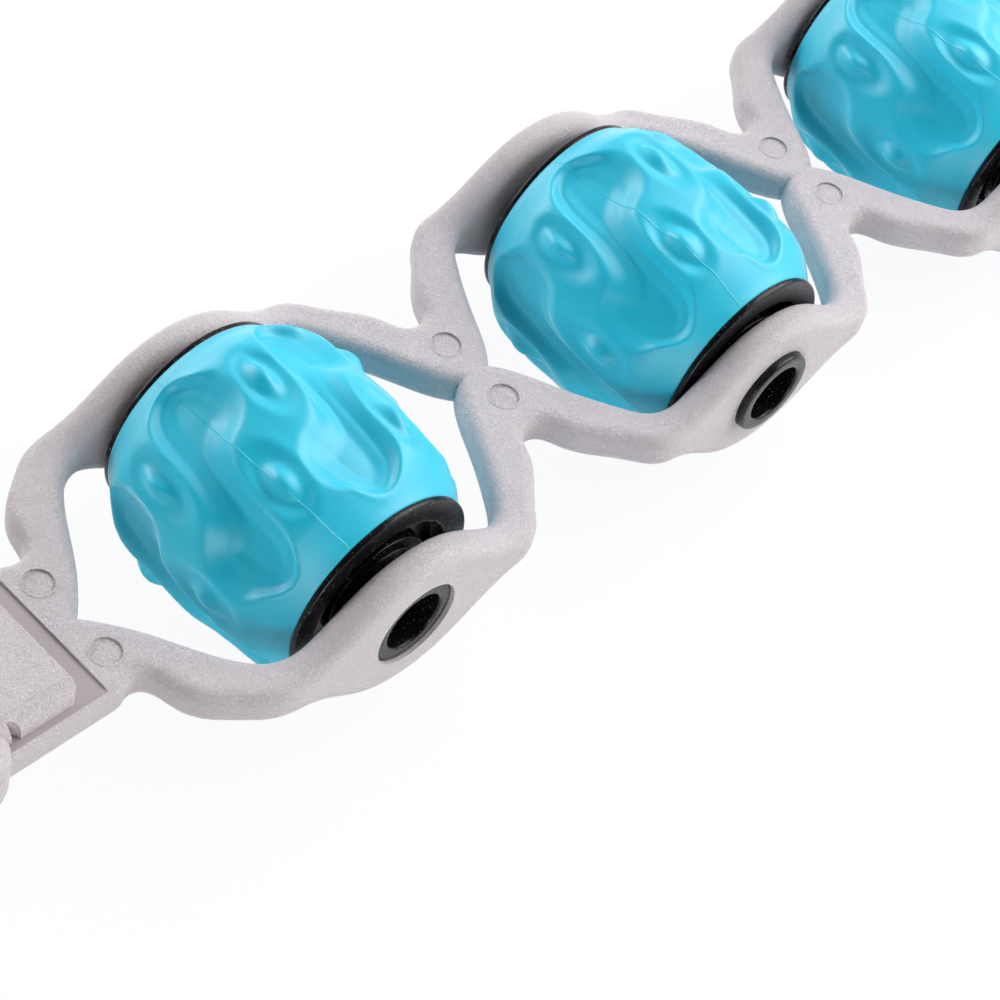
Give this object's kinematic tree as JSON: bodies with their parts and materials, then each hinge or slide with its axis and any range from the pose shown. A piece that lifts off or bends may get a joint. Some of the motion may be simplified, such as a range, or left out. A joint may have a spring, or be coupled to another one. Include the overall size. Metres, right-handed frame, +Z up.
{
  "type": "massage roller",
  "caption": "Flexible massage strap: open link frames joined by bending webs, a free-turning soft textured roller in each, and a closed loop handle at either end.",
  "frame": {"origin": "bottom centre of the whole object's box, on the surface that it lies on, halfway along the strap", "axes": "+X along the strap from the pictured handle to the other, +Y along the roller axles, +Z up"},
  "size_m": [0.532, 0.112, 0.045],
  "materials": {
    "strap": "fine spark-eroded texture, light warm grey",
    "cover": "satin turquoise",
    "cap": "satin black",
    "handle": "fine spark-eroded texture, light warm grey",
    "screws": "plain zinc"
  },
  "bodies": {
    "link_1": {"link_frame_1": "strap", "neck_web_1": "strap", "handle_upper_left": "handle", "handle_lower_left": "handle", "handle_screws_left": "screws"},
    "link_2": {"link_frame_2": "strap", "neck_web_2": "strap"},
    "link_3": {"link_frame_3": "strap"},
    "link_4": {"link_frame_4": "strap", "neck_web_3": "strap", "handle_upper_right": "handle", "handle_lower_right": "handle", "handle_screws_right": "screws"},
    "roller_1": {"roller_cover_1": "cover", "roller_core_1": "cap", "end_cap_front_1": "cap", "end_cap_rear_1": "cap"},
    "roller_2": {"roller_cover_2": "cover", "roller_core_2": "cap", "end_cap_front_2": "cap", "end_cap_rear_2": "cap"},
    "roller_3": {"roller_cover_3": "cover", "roller_core_3": "cap", "end_cap_front_3": "cap", "end_cap_rear_3": "cap"},
    "roller_4": {"roller_cover_4": "cover", "roller_core_4": "cap", "end_cap_front_4": "cap", "end_cap_rear_4": "cap"}
  },
  "joints": [
    {"name": "neck_1_bend", "type": "hinge", "parent": "link_2", "child": "link_1", "pos_m": [-0.078, 0, 0.02252], "axis": [0, 1, 0], "range_deg": [-60, 60], "stiffness_Nm_per_rad": 1.5, "deforming": ["neck_web_1"]},
    {"name": "neck_2_bend", "type": "hinge", "parent": "link_2", "child": "link_3", "pos_m": [0, 0, 0.02252], "axis": [0, -1, 0], "range_deg": [-60, 60], "stiffness_Nm_per_rad": 1.5, "deforming": ["neck_web_2"]},
    {"name": "neck_3_bend", "type": "hinge", "parent": "link_3", "child": "link_4", "pos_m": [0.078, 0, 0.02252], "axis": [0, -1, 0], "range_deg": [-60, 60], "stiffness_Nm_per_rad": 1.5, "deforming": ["neck_web_3"]},
    {"name": "roller_1_spin", "type": "hinge", "parent": "link_1", "child": "roller_1", "pos_m": [-0.117, 0, 0.02252], "axis": [0, 1, 0], "continuous": true},
    {"name": "roller_2_spin", "type": "hinge", "parent": "link_2", "child": "roller_2", "pos_m": [-0.039, 0, 0.02252], "axis": [0, 1, 0], "continuous": true},
    {"name": "roller_3_spin", "type": "hinge", "parent": "link_3", "child": "roller_3", "pos_m": [0.039, 0, 0.02252], "axis": [0, 1, 0], "continuous": true},
    {"name": "roller_4_spin", "type": "hinge", "parent": "link_4", "child": "roller_4", "pos_m": [0.117, 0, 0.02252], "axis": [0, 1, 0], "continuous": true}
  ]
}
